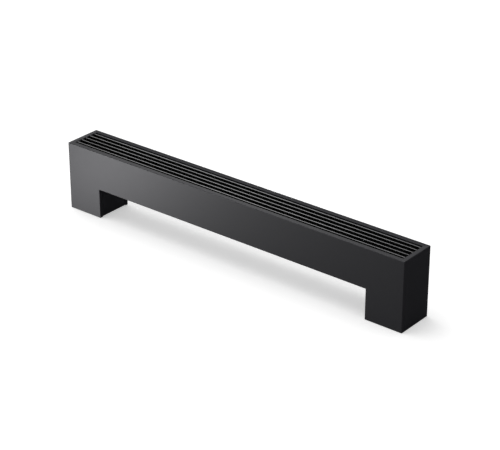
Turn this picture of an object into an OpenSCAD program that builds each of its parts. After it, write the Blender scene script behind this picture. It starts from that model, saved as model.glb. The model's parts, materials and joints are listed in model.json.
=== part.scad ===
// Free-standing floor convector for a hot-water heating system.
// A sheet-steel casing shaped like a low portal stands over a finned exchanger, which two
// consoles on levelling feet carry. A bar grille lies in the rim of the casing, and the
// valves are hidden in the right leg.
// Origin: on the floor, under the middle of the casing. +X runs along the length, the
// front faces -Y, +Z is up. Millimetres.

/* [Casing] */
// Length of the casing
body_l = 1300; // [900:10:2400]
// Depth of the casing, front to back
body_d = 130; // [127:1:200]
// Height of the open space under the beam
leg_h = 100; // [98:1:180]
// Height of the beam that holds the exchanger
beam_h = 130; // [129:1:260]
// Width of each leg
leg_w = 130; // [127:1:260]
// Thickness of the casing sheet
sheet = 1.5; // [1:0.1:2]
// Outer radius of the bends in the casing sheet
bend_r = 2; // [1.5:0.5:4]
// Width of the rim round the grille
rim_w = 16; // [14:1:24]
// Depth of the lip that is folded down inside the rim
lip_h = 9; // [4:1:14]
// Width of the flanges folded inward along the open edges
return_w = 10; // [6:1:12]
// Gap between the floor and the lower edge of the casing
floor_gap = 1; // [0.5:0.5:3]
// Number of cross members under the grille
member_count = 5; // [3:1:9]
// Width of a cross member
member_w = 16; // [12:1:20]
// Thickness of a cross member
member_t = 2; // [1.5:0.5:3]
// Height of the upturned end of a cross member, above its top
tab_h = 12; // [10:1:15]
// Thickness of the rubber pads under the grille
pad_t = 1; // [0.5:0.5:1.5]
// Radius of the countersunk screws in the rear panel
rear_screw_r = 2; // [1.5:0.5:2.5]

/* [Grille] */
// Thickness of a grille bar
bar_t = 4; // [2:0.5:6]
// Height of a grille bar
bar_h = 18; // [14:1:18]
// Distance from one bar to the next
bar_pitch = 19.5; // [12:0.5:24]
// How far the bars lie below the top of the rim
bar_sink = 1.4; // [0.5:0.1:1.5]
// Radius of the rounded upper edges of a bar
bar_edge_r = 0.8; // [0.3:0.1:0.9]
// Gap between the grille and the rim at each end
bar_end_gap = 1; // [0.5:0.5:3]
// Radius of the tie rods through the bars
rod_r = 2.5; // [2:0.5:3]
// Radius of the spacers between the bars
spacer_r = 4; // [3.5:0.5:6]
// Distance from one tie rod to the next
rod_pitch = 200; // [100:10:300]

/* [Exchanger] */
// Outer radius of a water tube
tube_r = 7.5; // [7:0.5:8]
// Wall of a water tube
tube_wall = 1; // [0.7:0.1:1.5]
// Distance between the front and the rear tubes, and so between the pipe connections
tube_gap = 50; // [48:1:52]
// Distance between the lower and the upper tubes
tube_rise = 30; // [29:1:32]
// Depth of a fin, front to back
fin_d = 100; // [80:1:102]
// Height of a fin
fin_h = 60; // [54:1:64]
// Thickness of a fin
fin_t = 0.5; // [0.4:0.1:1]
// Distance from one fin to the next, which is fitted to the length
fin_pitch = 7; // [5:0.5:14]
// Radius of the headers that join the tubes
header_r = 12.5; // [12.5:0.5:14]
// Lift of the valve disc above its seat when the valve is open
valve_lift = 2.4; // [1.5:0.1:3]
// Radius of the hand wheel
wheel_r = 19; // [18:0.5:22]

/* [Connections] */
// Radius of the sockets for the pipes from the floor
pipe_socket_r = 7.6; // [7.1:0.1:8.1]
// Depth of the sockets for the pipes from the floor
pipe_socket_l = 14; // [10:1:15]
// Radius of the waterways in the isolating valves
waterway_r = 5; // [4:0.5:5.5]
// Radius of the isolating plugs
plug_r = 8; // [7:0.5:9]

/* [Consoles] */
// Thickness of the console plate
plate_t = 3; // [2.5:0.5:4]
// Height of the rubber caps above the console plate
cap_t = 3; // [2:0.5:4]
// Radius of the levelling studs
stud_r = 5; // [4:0.5:6]
// How far a levelling foot can be screwed out
foot_travel = 9; // [3:1.5:15]
// Radius of the rubber soles under the levelling feet
sole_r = 14; // [12:1:15]
// Radius of the floor anchor holes
anchor_r = 4.5; // [3.5:0.5:6]
// Distance between the two anchor holes of a console
anchor_gap = 40; // [30:1:50]

/* [Hidden] */
$fn = 48;

// Clearances
eps = 0.5;          // how far a cutting shape runs past the face that it cuts
seat_gap = 0.2;     // between a piece that lifts off and what carries it
slide_gap = 0.3;    // between the lifted casing and what it slides past
seam = 0.2;         // between the rear panel and the casing shell
run_gap = 0.08;     // radial, between a turning piece and its bore
fit_gap = 0.03;     // radial, between two pieces that are fastened together

// Colours
coat = [0.13, 0.13, 0.135];
bar_black = [0.20, 0.20, 0.21];
matt_black = [0.06, 0.06, 0.065];
zinc = [0.66, 0.67, 0.68];
fin_silver = [0.78, 0.79, 0.80];
copper = [0.76, 0.44, 0.28];
brass = [0.80, 0.66, 0.36];
rubber = [0.05, 0.05, 0.05];
white_cap = [0.90, 0.90, 0.88];

// Casing
body_h = leg_h + beam_h;
half_l = body_l / 2;
half_d = body_d / 2;
rim_z = body_h - sheet;
open_x = half_l - rim_w;
open_y = half_d - rim_w;
leg_in = half_l - leg_w;
leg_return_x = leg_in + sheet;
end_flange_w = 12;
rear_screw_x = half_l - sheet - end_flange_w / 2;
rear_screw_z = [floor_gap + 29, body_h / 2, rim_z - lip_h - 24];
screw_head_r = 1.9 * rear_screw_r;
rear_screw_l = 8;

// Grille
bar_top = body_h - bar_sink;
bar_bottom = bar_top - bar_h;
bar_z = bar_top - bar_h / 2;
bar_half = open_x - bar_end_gap;
bar_side_gap = 5;
bar_count = floor((2 * open_y - bar_t - 2 * bar_side_gap) / bar_pitch) + 1;
bars_half = (bar_count - 1) * bar_pitch / 2;
rod_end = 30;
rod_count = floor(2 * (bar_half - rod_end) / rod_pitch) + 1;
rivet_t = 1.5;
rivet_r = spacer_r;

// Cross members and the ledges at the ends
pad_top = bar_bottom - seat_gap;
member_top = pad_top - pad_t;
member_bottom = member_top - member_t;
pad_margin = 2;
pad_half = bars_half + bar_t / 2 + pad_margin;
ledge_in = bar_half - member_w;
ledge_half = pad_half + pad_margin;
ledge_drop = 12;

// Consoles, along X from the middle of the casing outward
panel_x = leg_return_x + slide_gap;
plate_x = panel_x + sheet;
plate_out = plate_x + plate_t;
member_x = (plate_x + plate_out) / 2;
header_x = plate_out + 30;
base_end = half_l - sheet - 9;
anchor_x = base_end - 14;
foot_x = anchor_x - 25;
cap_side = 5.2;
console_half = half_d - sheet - slide_gap - cap_side;
foot_inset = 16;
foot_y = console_half - foot_inset;

// Levelling feet and the console, upward from the floor
sole_t = 2;
foot_disc_t = 3;
foot_disc_r = sole_r - 1;
nut_clear = 1;
nut_h = 7.8;
nut_af = 2 * stud_r + 7;
nut_collar_r = stud_r + 3;
nut_lip_r = nut_collar_r + 1.5;
nut_lip_t = 1.2;
base_z = sole_t + foot_disc_t + nut_clear + nut_h + seat_gap;
base_top = base_z + plate_t;
nut_top = base_top + seat_gap + nut_lip_t;
stud_spare = 5;
stud_top = nut_top + foot_travel + stud_spare;
plate_top = member_bottom - seat_gap - cap_t;
gusset_h = 70;
gusset_end_h = 12;
cap_grip = 12;
cap_wall = 1.2;
cap_out = 4;
cap_l = 16;

// Exchanger
fin_lift = 8;
fin_z = leg_h + fin_lift;
tube_mid = fin_z + fin_h / 2;
tube_zs = [tube_mid - tube_rise / 2, tube_mid + tube_rise / 2];
tube_ys = [-tube_gap / 2, tube_gap / 2];
end_plate_t = 1.2;
end_plate_x = leg_in - 13;
end_plate_rim = 2;
fin_span = 2 * end_plate_x - fin_t;
fin_count = floor(fin_span / fin_pitch) + 1;
fin_step = fin_span / (fin_count - 1);
collar_t = 0.5;
bend_x = plate_out + 16;
sleeve_l = 11;
boss_l = 18;
boss_r = tube_r + 2.5;
tube_end_x = header_x - header_r + 2;
header_wall = 3;
header_over = 17;
header_bore_r = header_r - header_wall;
header_z = tube_zs[0] - header_over;
header_top = tube_zs[1] + header_over;
waterway = tube_r - tube_wall;
neck_r = waterway + 2.5;
neck_l = 14;
collar_r = neck_r + 2.5;
collar_l = 4;
plug_depth = 6;
header_plug_r = header_bore_r - fit_gap;

// Valve in the supply header
seat_r = 5;
seat_t = 3;
seat_z = header_z + header_wall;
disc_r = 7;
disc_t = 3.5;
disc_gap = 0.1;
disc_z = seat_z + seat_t + disc_gap + valve_lift;
spindle_r = 2;
hex_h = 6;
hex_top = header_top + hex_h;
bonnet_af = 2 * header_r + 2;
bonnet_flange_r = wheel_r - 2;
bonnet_flange_t = 1;
bonnet_neck_r = wheel_r - 4.5;
bonnet_neck_top = hex_top + 10;
spindle_top = bonnet_neck_top + 4;
wheel_clear = 0.4;
wheel_bottom = hex_top + bonnet_flange_t + seat_gap;
wheel_top = spindle_top + 15;
wheel_dish_r = wheel_r - 6;
wheel_dish = 3;
flute_count = 16;
flute_r = 1.6;

// Air vent in the return header, and the drain plug beside it
vent_r = 2.5;
vent_boss_r = 6;
vent_boss_top = hex_top + 8;
vent_tip_z = header_top + 4;
vent_head_r = 4.5;
vent_head_h = 4;
vent_key = 5;
vent_key_h = 5;
nozzle_r = 2;
nozzle_l = 11;
nozzle_z = hex_top + 3.5;
drain_z = header_z + 12;
drain_l = header_r + 4.5;
drain_boss_r = 8;
drain_r = 5;
drain_af = 13;

// Unions and the isolating valves, downward from the headers
union_af = 30;
gasket_t = 2;
gasket_top = header_z - neck_l - collar_l;
spigot_r = 12;
spigot_l = 12;
block_top = gasket_top - gasket_t - spigot_l;
block_h = 28;
block_z = block_top - block_h;
block_half = 14;
plug_z = block_z + block_h / 2;
plug_back = 9;
stem_r = 5;
stem_l = 10;
slot_w = 1.6;
slot_depth = 3;
gland_l = 6;
gland_af = 22;
union_lip = 4;
union_skirt = 10;
olive_l = 4;
pipe_lip = 4;
spigot_bottom = block_z - spigot_l;
socket_top = spigot_bottom + pipe_socket_l;
pipe_nut_bottom = spigot_bottom - olive_l - pipe_lip;

// Tube bushes and the bars that hold them down
bush_r = 10;
bush_flange_r = 13;
bush_flange_t = 2.5;
retainer_t = 2;
retainer_h = 12;
retainer_z = tube_zs[1] + bush_flange_r + seat_gap;
retainer_half = console_half - 8;
middle_top = retainer_z + retainer_h + 3;
retainer_screw_ys = [-retainer_half + 7, 0, retainer_half - 7];
screw_r = 2.5;
screw_head_h = 2.6;

// Leg panels
panel_top = leg_h + 4;
panel_half = half_d - sheet - slide_gap;
weld_stud_r = 2;
weld_stud_l = 9;
weld_stud_y = console_half - 8;
weld_stud_zs = [base_top + 13, panel_top - 10];
panel_nut_h = 3.2;

// Basic shapes
module hexagon(af, h) {
    cylinder(r = af / sqrt(3), h = h, $fn = 6);
}

module tube(outer, inner, h) {
    difference() {
        cylinder(r = outer, h = h);
        translate([0, 0, -eps]) cylinder(r = inner, h = h + 2 * eps);
    }
}

// A box from one corner to the opposite one
module block(low, high) {
    translate(low) cube(high - low);
}

// A cylinder that starts at a point and runs along +X
module along_x(point, r, h) {
    translate(point) rotate([0, 90, 0]) cylinder(r = r, h = h);
}

// A cylinder that starts at a point and runs along +Y
module along_y(point, r, h) {
    translate(point) rotate([-90, 0, 0]) cylinder(r = r, h = h);
}

// A rectangle whose upper corners, or all corners, are rounded
module rounded_top(w, h, r) {
    translate([-w / 2, 0]) square([w, h - r]);
    translate([-w / 2 + r, 0]) square([w - 2 * r, h]);
    for (side = [-1, 1]) translate([side * (w / 2 - r), h - r]) circle(r = r);
}

module rounded_plan(l, d, r) {
    square([l, d - 2 * r], center = true);
    square([l - 2 * r, d], center = true);
    for (x = [-1, 1], y = [-1, 1]) translate([x * (l / 2 - r), y * (d / 2 - r)]) circle(r = r);
}

// Both ends of the convector, the left one as the mirror of the right one
module both_ends() {
    children();
    mirror([1, 0, 0]) children();
}

module front_and_rear() {
    children();
    mirror([0, 1, 0]) children();
}

// Casing
module casing_outer() {
    intersection() {
        linear_extrude(body_h) rounded_plan(body_l, body_d, bend_r);
        translate([half_l, 0, 0]) rotate([90, 0, -90]) linear_extrude(body_l)
            rounded_top(body_d, body_h, bend_r);
        translate([0, half_d, 0]) rotate([90, 0, 0]) linear_extrude(body_d)
            rounded_top(body_l, body_h, bend_r);
    }
}

module casing_sheet() {
    inner_x = half_l - sheet;
    inner_y = half_d - sheet;
    difference() {
        casing_outer();
        block([-inner_x, -inner_y, -eps], [inner_x, inner_y, rim_z]);
        block([-open_x, -open_y, 0], [open_x, open_y, body_h + eps]);
        block([-leg_in, -half_d - eps, -eps], [leg_in, half_d + eps, leg_h]);
        block([-half_l - eps, -half_d - eps, -eps], [half_l + eps, half_d + eps, floor_gap]);
    }
}

module rim_lip() {
    difference() {
        block([-open_x - sheet, -open_y - sheet, rim_z - lip_h], [open_x + sheet, open_y + sheet, rim_z]);
        block([-open_x, -open_y, rim_z - lip_h - eps], [open_x, open_y, rim_z + eps]);
    }
}

// The flanges along the lower edge of the beam and the inner edges of the legs
module edge_returns() {
    y = half_d - sheet;
    front_and_rear() {
        block([-leg_in, y - return_w, leg_h], [leg_in, y, leg_h + sheet]);
        both_ends() block([leg_in, y - return_w, floor_gap], [leg_return_x, y, leg_h + sheet]);
    }
}

module whole_casing() {
    casing_sheet();
    rim_lip();
    edge_returns();
}

// What belongs to the rear panel: it meets the rim of the shell in a mitre at each corner
module rear_zone(grow) {
    reach = 2 * eps;
    y = open_y - grow;
    translate([0, 0, -eps]) linear_extrude(body_h + 2 * eps) polygon([
        [-open_x, y], [open_x, y],
        [half_l + reach, half_d + reach - grow], [half_l + reach, half_d + reach],
        [-half_l - reach, half_d + reach], [-half_l - reach, half_d + reach - grow]
    ]);
}

// The flanges of the end faces that the rear panel is screwed to
module end_flanges() {
    y = half_d - sheet - seam;
    x = half_l - sheet;
    both_ends() difference() {
        block([x - end_flange_w, y - sheet, floor_gap + 2], [x + sheet / 2, y, rim_z - lip_h - 4]);
        for (z = rear_screw_z) along_y([rear_screw_x, y - sheet - eps, z], rear_screw_r, sheet + 2 * eps);
    }
}

module casing_shell() {
    color(coat) {
        difference() {
            whole_casing();
            rear_zone(seam);
        }
        end_flanges();
    }
}

module member_places() {
    step = 2 * member_x / (member_count - 1);
    for (i = [0 : member_count - 1]) translate([-member_x + i * step, 0, 0]) children();
}

module rear_screw_places() {
    for (z = rear_screw_z) both_ends() translate([rear_screw_x, half_d, z]) children();
    member_places() translate([0, half_d, member_top + tab_h / 2]) children();
}

// A countersunk screw with its head at the origin, pointing along -Y
module countersunk(extra) {
    rotate([90, 0, 0]) {
        cylinder(r1 = screw_head_r + extra, r2 = rear_screw_r - fit_gap + extra, h = sheet);
        cylinder(r = rear_screw_r - fit_gap + extra, h = rear_screw_l);
    }
}

module rear_panel() {
    color(coat) difference() {
        intersection() {
            whole_casing();
            rear_zone(0);
        }
        rear_screw_places() countersunk(2 * fit_gap);
    }
}

module rear_panel_screws() {
    color(zinc) rear_screw_places() difference() {
        countersunk(0);
        rotate([90, 0, 0]) translate([0, 0, -eps]) cylinder(r = 1.2, h = 1.2 + eps, $fn = 6);
    }
}

module cross_members() {
    y = half_d - sheet;
    color(matt_black) member_places() difference() {
        union() {
            block([-member_w / 2, -y, member_bottom], [member_w / 2, y, member_top]);
            front_and_rear()
                block([-member_w / 2, y - member_t, member_bottom], [member_w / 2, y, member_top + tab_h]);
        }
        along_y([0, y - member_t - eps, member_top + tab_h / 2], rear_screw_r, member_t + 2 * eps);
    }
}

// The angles at the ends of the casing that carry the ends of the bars
module end_ledges() {
    x = half_l - sheet;
    color(matt_black) both_ends() {
        block([ledge_in, -ledge_half, member_bottom], [x, ledge_half, member_top]);
        block([x - member_t, -ledge_half, member_bottom - ledge_drop], [x, ledge_half, member_top]);
    }
}

module grille_pads() {
    color(rubber) {
        member_places() block([-member_w / 2, -pad_half, member_top], [member_w / 2, pad_half, pad_top]);
        both_ends() block([ledge_in, -pad_half, member_top], [bar_half, pad_half, pad_top]);
    }
}

// Grille
module rod_places() {
    for (i = [0 : rod_count - 1]) translate([(i - (rod_count - 1) / 2) * rod_pitch, 0, bar_z]) children();
}

module bar_places() {
    for (i = [0 : bar_count - 1]) translate([0, i * bar_pitch - bars_half, 0]) children();
}

module grille_bars() {
    color(bar_black) bar_places() difference() {
        translate([bar_half, 0, bar_bottom]) rotate([90, 0, -90]) linear_extrude(2 * bar_half)
            rounded_top(bar_t, bar_h, bar_edge_r);
        rod_places() along_y([0, -bar_t / 2 - eps, 0], rod_r + fit_gap, bar_t + 2 * eps);
    }
}

module grille_tie_rods() {
    half = bars_half + bar_t / 2;
    color(matt_black) rod_places() {
        along_y([0, -half - rivet_t, 0], rod_r, 2 * (half + rivet_t));
        front_and_rear() along_y([0, half, 0], rivet_r, rivet_t);
    }
}

module grille_spacers() {
    color(matt_black) rod_places() for (i = [0 : bar_count - 2])
        translate([0, i * bar_pitch - bars_half + bar_t / 2, 0]) rotate([-90, 0, 0])
            tube(spacer_r, rod_r + fit_gap, bar_pitch - bar_t);
}

// Exchanger
module tube_places() {
    for (y = tube_ys, z = tube_zs) translate([0, y, z]) children();
}

// One solid, because the drawn collars of neighbouring fins touch
module fin_pack() {
    half = end_plate_x;
    color(fin_silver) difference() {
        union() {
            for (i = [0 : fin_count - 1])
                block([-half + i * fin_step, -fin_d / 2, fin_z], [-half + i * fin_step + fin_t, fin_d / 2, fin_z + fin_h]);
            tube_places() along_x([-half, 0, 0], tube_r + collar_t, 2 * half);
        }
        tube_places() along_x([-half - eps, 0, 0], tube_r + fit_gap, 2 * (half + eps));
    }
}

module exchanger_end_plates() {
    y = fin_d / 2 + end_plate_rim;
    color(zinc) both_ends() difference() {
        block([end_plate_x, -y, fin_z - end_plate_rim],
            [end_plate_x + end_plate_t, y, fin_z + fin_h + end_plate_rim]);
        tube_places() along_x([end_plate_x - eps, 0, 0], tube_r + fit_gap, end_plate_t + 2 * eps);
    }
}

module water_tubes() {
    color(copper) tube_places() difference() {
        along_x([-bend_x, 0, 0], tube_r, bend_x + tube_end_x);
        along_x([-bend_x - eps, 0, 0], tube_r - tube_wall, bend_x + tube_end_x + 2 * eps);
    }
}

// The socket of a U bend, which starts at the end of the bend and takes a water tube
module bend_socket(y) {
    difference() {
        along_x([0, y, 0], tube_r + tube_wall, sleeve_l + tube_wall);
        along_x([-eps, y, 0], tube_r - tube_wall, sleeve_l);
        along_x([tube_wall, y, 0], tube_r + fit_gap, sleeve_l + eps);
    }
}

// The U bends that join each front tube to the rear tube at its own height
module return_bends() {
    color(copper) for (z = tube_zs) translate([-bend_x - tube_wall, 0, z]) {
        rotate([0, 0, 90]) rotate_extrude(angle = 180) translate([tube_gap / 2, 0]) difference() {
            circle(r = tube_r);
            circle(r = tube_r - tube_wall);
        }
        for (y = tube_ys) bend_socket(y);
    }
}

// A header stands at the origin of its own plan; the tubes enter it from -X
module header_body() {
    difference() {
        union() {
            translate([0, 0, header_z]) cylinder(r = header_r, h = header_top - header_z);
            translate([0, 0, header_z - neck_l - eps]) cylinder(r = neck_r, h = neck_l + 2 * eps);
            translate([0, 0, gasket_top]) cylinder(r = collar_r, h = collar_l);
            for (z = tube_zs) along_x([-boss_l, 0, z], boss_r, boss_l);
        }
        translate([0, 0, gasket_top - eps]) cylinder(r = waterway, h = seat_z - gasket_top + 2 * eps);
        translate([0, 0, seat_z]) cylinder(r = header_bore_r, h = header_top);
        for (z = tube_zs) {
            along_x([-boss_l - eps, 0, z], waterway, boss_l);
            along_x([-boss_l - eps, 0, z], tube_r + fit_gap, tube_end_x - header_x + boss_l + eps);
        }
    }
}

module supply_header() {
    color(brass) translate([header_x, tube_ys[0], 0]) header_body();
}

module return_header() {
    color(brass) translate([header_x, tube_ys[1], 0]) difference() {
        union() {
            header_body();
            difference() {
                along_x([0, 0, drain_z], drain_boss_r, drain_l);
                translate([0, 0, header_z]) cylinder(r = header_r - eps, h = header_top - header_z);
            }
        }
        along_x([0, 0, drain_z], drain_r + fit_gap, drain_l + eps);
    }
}

module valve_seat() {
    color(zinc) translate([header_x, tube_ys[0], seat_z]) tube(header_plug_r, seat_r, seat_t);
}

module valve_bonnet() {
    color(brass) translate([header_x, tube_ys[0], 0]) difference() {
        union() {
            translate([0, 0, header_top - plug_depth]) cylinder(r = header_plug_r, h = plug_depth + eps);
            translate([0, 0, header_top]) hexagon(bonnet_af, hex_h);
            translate([0, 0, hex_top]) cylinder(r = bonnet_flange_r, h = bonnet_flange_t);
            translate([0, 0, hex_top]) cylinder(r = bonnet_neck_r, h = bonnet_neck_top - hex_top);
        }
        translate([0, 0, header_top - plug_depth - eps])
            cylinder(r = spindle_r + run_gap, h = bonnet_neck_top);
    }
}

module valve_spindle() {
    color(zinc) translate([header_x, tube_ys[0], disc_z]) {
        cylinder(r = disc_r, h = disc_t);
        cylinder(r = spindle_r, h = spindle_top - disc_z);
    }
}

module hand_wheel() {
    cavity_top = spindle_top + seat_gap;
    color(white_cap) translate([header_x, tube_ys[0], 0]) difference() {
        translate([0, 0, wheel_bottom]) cylinder(r = wheel_r, h = wheel_top - wheel_bottom);
        translate([0, 0, wheel_bottom - eps])
            cylinder(r = bonnet_neck_r + wheel_clear, h = cavity_top - wheel_bottom + eps);
        translate([0, 0, wheel_top - wheel_dish]) cylinder(r = wheel_dish_r, h = wheel_dish + eps);
        for (i = [0 : flute_count - 1]) rotate([0, 0, i * 360 / flute_count])
            translate([wheel_r + flute_r / 2, 0, wheel_bottom - eps])
                cylinder(r = flute_r, h = wheel_top - wheel_bottom + 2 * eps);
    }
}

module air_vent_body() {
    color(brass) translate([header_x, tube_ys[1], 0]) difference() {
        union() {
            translate([0, 0, header_top - plug_depth]) cylinder(r = header_plug_r, h = plug_depth + eps);
            translate([0, 0, header_top]) hexagon(bonnet_af, hex_h);
            translate([0, 0, header_top]) cylinder(r = vent_boss_r, h = vent_boss_top - header_top);
            along_x([0, 0, nozzle_z], nozzle_r, nozzle_l);
        }
        translate([0, 0, header_top - plug_depth - eps])
            cylinder(r = vent_r + run_gap, h = vent_boss_top);
        along_x([0, 0, nozzle_z], nozzle_r / 2, nozzle_l + eps);
    }
}

module air_vent_screw() {
    head_z = vent_boss_top + seat_gap;
    color(brass) translate([header_x, tube_ys[1], 0]) {
        translate([0, 0, vent_tip_z]) cylinder(r = vent_r, h = head_z - vent_tip_z);
        translate([0, 0, head_z]) cylinder(r = vent_head_r, h = vent_head_h);
        translate([-vent_key / 2, -vent_key / 2, head_z + vent_head_h]) cube([vent_key, vent_key, vent_key_h]);
    }
}

module drain_plug() {
    color(brass) translate([header_x, tube_ys[1], drain_z]) {
        along_x([header_r - 1, 0, 0], drain_r, drain_l - header_r + 1);
        translate([drain_l, 0, 0]) rotate([0, 90, 0]) hexagon(drain_af, drain_r);
    }
}

// Connections
module connection_places() {
    for (y = tube_ys) translate([header_x, y, 0]) children();
}

module union_nuts() {
    top = gasket_top + collar_l + union_lip + seat_gap;
    bottom = top - union_lip - collar_l - union_skirt;
    color(brass) connection_places() difference() {
        translate([0, 0, bottom]) hexagon(union_af, top - bottom);
        translate([0, 0, bottom - eps]) cylinder(r = spigot_r + fit_gap, h = top - union_lip - bottom + eps);
        translate([0, 0, bottom]) cylinder(r = neck_r + seat_gap, h = top);
    }
}

module union_gaskets() {
    color(rubber) connection_places() translate([0, 0, gasket_top - gasket_t])
        tube(collar_r, tube_r - tube_wall, gasket_t);
}

// The two isolating valves, one under each header
module isolating_valves() {
    spigot_top = gasket_top - gasket_t;
    color(brass) connection_places() difference() {
        union() {
            block([-block_half, -gland_af / 2, block_z], [block_half, gland_af / 2, block_top]);
            translate([0, 0, block_z]) cylinder(r = block_half, h = block_h);
            translate([0, 0, spigot_bottom]) cylinder(r = spigot_r, h = spigot_top - spigot_bottom);
        }
        translate([0, 0, spigot_bottom - eps]) cylinder(r = waterway_r, h = spigot_top - spigot_bottom + 2 * eps);
        translate([0, 0, block_top]) cylinder(r = tube_r - tube_wall, h = spigot_l + eps);
        translate([0, 0, spigot_bottom - eps]) cylinder(r = pipe_socket_r, h = pipe_socket_l + eps);
        along_x([-plug_back, 0, plug_z], plug_r + run_gap, plug_back + block_half + eps);
    }
}

module gland_nuts() {
    color(brass) connection_places() translate([block_half, 0, plug_z]) rotate([0, 90, 0]) difference() {
        hexagon(gland_af, gland_l);
        translate([0, 0, -eps]) cylinder(r = stem_r + run_gap, h = gland_l + 2 * eps);
    }
}

// A plug with a cross bore, which opens and shuts one waterway by a quarter turn
module isolating_plug(y) {
    shut = seat_gap;
    stem_end = block_half + stem_l;
    color(zinc) translate([header_x, y, plug_z]) difference() {
        union() {
            along_x([-plug_back + shut, 0, 0], plug_r, plug_back + block_half - 2 * shut);
            along_x([0, 0, 0], stem_r, stem_end);
        }
        translate([0, 0, -plug_r - eps]) cylinder(r = waterway_r, h = 2 * (plug_r + eps));
        block([stem_end - slot_depth, -slot_w / 2, -stem_r - eps], [stem_end + eps, slot_w / 2, stem_r + eps]);
    }
}

module compression_nuts() {
    height = pipe_lip + olive_l + spigot_l - 1;
    color(brass) connection_places() translate([0, 0, pipe_nut_bottom]) difference() {
        hexagon(union_af, height);
        translate([0, 0, pipe_lip]) cylinder(r = spigot_r + fit_gap, h = height);
        translate([0, 0, -eps]) cylinder(r = pipe_socket_r + seat_gap, h = height);
    }
}

module compression_olives() {
    color(brass) connection_places() translate([0, 0, pipe_nut_bottom + pipe_lip])
        tube(spigot_r - 1, pipe_socket_r + seat_gap, olive_l);
}

// Consoles
module foot_places() {
    front_and_rear() translate([foot_x, foot_y, 0]) children();
}

module console_gusset() {
    translate([0, console_half, 0]) rotate([90, 0, 0]) linear_extrude(plate_t) polygon([
        [plate_x, base_z], [base_end, base_z], [base_end, base_z + gusset_end_h], [plate_out, base_z + gusset_h],
        [plate_x, base_z + gusset_h]
    ]);
}

module console() {
    slot_top = plate_top - tube_zs[0];
    middle_half = tube_gap / 2 - bush_r;
    pipe_x = header_x + spigot_r + 10;
    difference() {
        union() {
            block([plate_x, -console_half, base_z], [base_end, console_half, base_top]);
            block([plate_x, -console_half, base_z], [plate_out, console_half, plate_top]);
            front_and_rear() console_gusset();
        }
        for (y = tube_ys) {
            along_x([plate_x - eps, y, tube_zs[0]], bush_r + fit_gap, plate_t + 2 * eps);
            block([plate_x - eps, y - bush_r - fit_gap, tube_zs[0]],
                [plate_out + eps, y + bush_r + fit_gap, plate_top + eps]);
        }
        block([plate_x - eps, -middle_half - 1, middle_top], [plate_out + eps, middle_half + 1, plate_top + eps]);
        block([plate_out + 9, -tube_gap / 2 - 14, base_z - eps], [pipe_x, tube_gap / 2 + 14, base_top + eps]);
        foot_places() translate([0, 0, base_z - eps]) cylinder(r = nut_collar_r + run_gap, h = plate_t + 2 * eps);
        for (y = [-anchor_gap / 2, anchor_gap / 2])
            translate([anchor_x, y, base_z - eps]) cylinder(r = anchor_r, h = plate_t + 2 * eps);
        for (y = [-weld_stud_y, weld_stud_y], z = weld_stud_zs)
            along_x([plate_x - eps, y, z], weld_stud_r + fit_gap, plate_t + 2 * eps);
        for (y = retainer_screw_ys)
            along_x([plate_x - eps, y, retainer_z + retainer_h / 2], screw_r, plate_t + 2 * eps);
    }
}

// A rubber bush with a groove for the edge of the console plate
module tube_bushes() {
    color(rubber) both_ends() tube_places() difference() {
        union() {
            along_x([plate_x - bush_flange_t, 0, 0], bush_flange_r, bush_flange_t);
            along_x([plate_x, 0, 0], bush_r, plate_t);
            along_x([plate_out, 0, 0], bush_flange_r, bush_flange_t);
        }
        along_x([plate_x - bush_flange_t - eps, 0, 0], tube_r + fit_gap, plate_t + 2 * (bush_flange_t + eps));
    }
}

module bush_retainers() {
    color(zinc) both_ends() difference() {
        block([plate_out, -retainer_half, retainer_z], [plate_out + retainer_t, retainer_half, retainer_z + retainer_h]);
        for (y = retainer_screw_ys)
            along_x([plate_out - eps, y, retainer_z + retainer_h / 2], screw_r + fit_gap, retainer_t + 2 * eps);
    }
}

module retainer_screws() {
    color(zinc) both_ends() for (y = retainer_screw_ys) {
        along_x([plate_x, y, retainer_z + retainer_h / 2], screw_r - fit_gap, plate_t + retainer_t + 1);
        along_x([plate_out + retainer_t, y, retainer_z + retainer_h / 2], 2 * screw_r, screw_head_h);
    }
}

// Rubber caps on the console prongs, which carry the casing and centre it front to back
module casing_caps() {
    color(rubber) both_ends() front_and_rear() difference() {
        block([plate_x - cap_wall, console_half - cap_l, plate_top - cap_grip],
            [plate_out + cap_out, console_half + cap_side, plate_top + cap_t]);
        block([plate_x, console_half - cap_l - eps, plate_top - cap_grip - eps], [plate_out, console_half, plate_top]);
    }
}

module leg_panel() {
    color(coat) {
        block([panel_x, -panel_half, floor_gap + 1], [plate_x, panel_half, panel_top]);
        for (y = [-weld_stud_y, weld_stud_y], z = weld_stud_zs)
            along_x([panel_x + sheet / 2, y, z], weld_stud_r, weld_stud_l);
    }
}

module panel_nuts() {
    color(zinc) both_ends() for (y = [-weld_stud_y, weld_stud_y], z = weld_stud_zs)
        translate([plate_out, y, z]) rotate([0, 90, 0]) difference() {
            hexagon(3.5 * weld_stud_r, panel_nut_h);
            translate([0, 0, -eps]) cylinder(r = weld_stud_r + fit_gap, h = panel_nut_h + 2 * eps);
        }
}

// Levelling feet
module foot_stud(x, y) {
    color(zinc) translate([x, y, 0]) {
        translate([0, 0, sole_t]) cylinder(r = foot_disc_r, h = foot_disc_t);
        translate([0, 0, sole_t]) cylinder(r = stud_r, h = stud_top - sole_t);
    }
}

module foot_sole(x, y) {
    color(rubber) translate([x, y, 0]) cylinder(r = sole_r, h = sole_t);
}

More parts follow.
